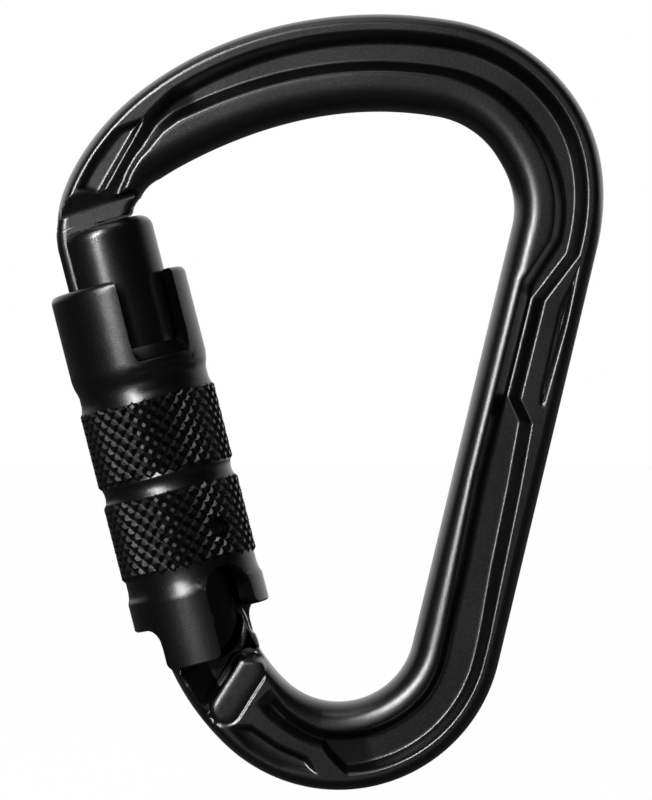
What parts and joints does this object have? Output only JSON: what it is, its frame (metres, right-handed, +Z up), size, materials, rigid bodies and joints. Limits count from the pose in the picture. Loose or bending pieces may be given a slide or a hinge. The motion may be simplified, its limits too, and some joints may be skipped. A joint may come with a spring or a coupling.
{
  "type": "locking carabiner",
  "caption": "Pear-shaped forged locking carabiner with a twist-lock sleeve on a sprung, hinged gate.",
  "frame": {"origin": "centre of the box round the whole carabiner with its gate closed and locked", "axes": "+Z up towards the wide rope basket, +X from the gate towards the spine, -Y towards the front face"},
  "size_m": [0.0736, 0.0184, 0.1032],
  "materials": {
    "body": "black anodised, fine matt",
    "gate": "black anodised, satin, turned",
    "sleeve": "black anodised, satin, knurled",
    "steel": "plain stainless steel",
    "spring_steel": "spring steel wire",
    "bush": "natural acetal"
  },
  "bodies": {
    "body": {"body": "body"},
    "gate": {"gate_barrel": "gate", "hinge_rivet": "steel", "guide_bush": "bush", "guide_pin": "steel", "gate_spring": "spring_steel"},
    "plunger": {"gate_plunger": "steel"},
    "sleeve_coil": {"sleeve_spring": "spring_steel"},
    "sleeve": {"locking_sleeve": "sleeve"}
  },
  "joints": [
    {"name": "gate_swing", "type": "hinge", "parent": "body", "child": "gate", "pos_m": [-0.01647, 0, -0.02913], "axis": [0, 1, 0], "range_deg": [0, 26], "stiffness_Nm_per_rad": 0.46, "springref_deg": -37.24},
    {"name": "plunger_slide", "type": "slide", "parent": "gate", "child": "plunger", "axis": [-0.2478, 0, 0.9688], "range_m": [0, 0.0012], "deforming": ["gate_spring"]},
    {"name": "sleeve_twist", "type": "hinge", "parent": "gate", "child": "sleeve_coil", "pos_m": [-0.01647, 0, -0.02913], "axis": [-0.2478, 0, 0.9688], "range_deg": [-120, 0], "stiffness_Nm_per_rad": 0.005, "springref_deg": 85.94},
    {"name": "sleeve_lift", "type": "slide", "parent": "sleeve_coil", "child": "sleeve", "axis": [-0.2478, 0, 0.9688], "range_m": [0, 0.003], "deforming": ["sleeve_spring"]}
  ],
  "couplings": [
    {"joint": "plunger_slide", "follows": "gate_swing", "m_per_rad": 0.0026443},
    {"joint": "sleeve_twist", "follows": "sleeve_lift", "rad_per_m": -698.13}
  ]
}
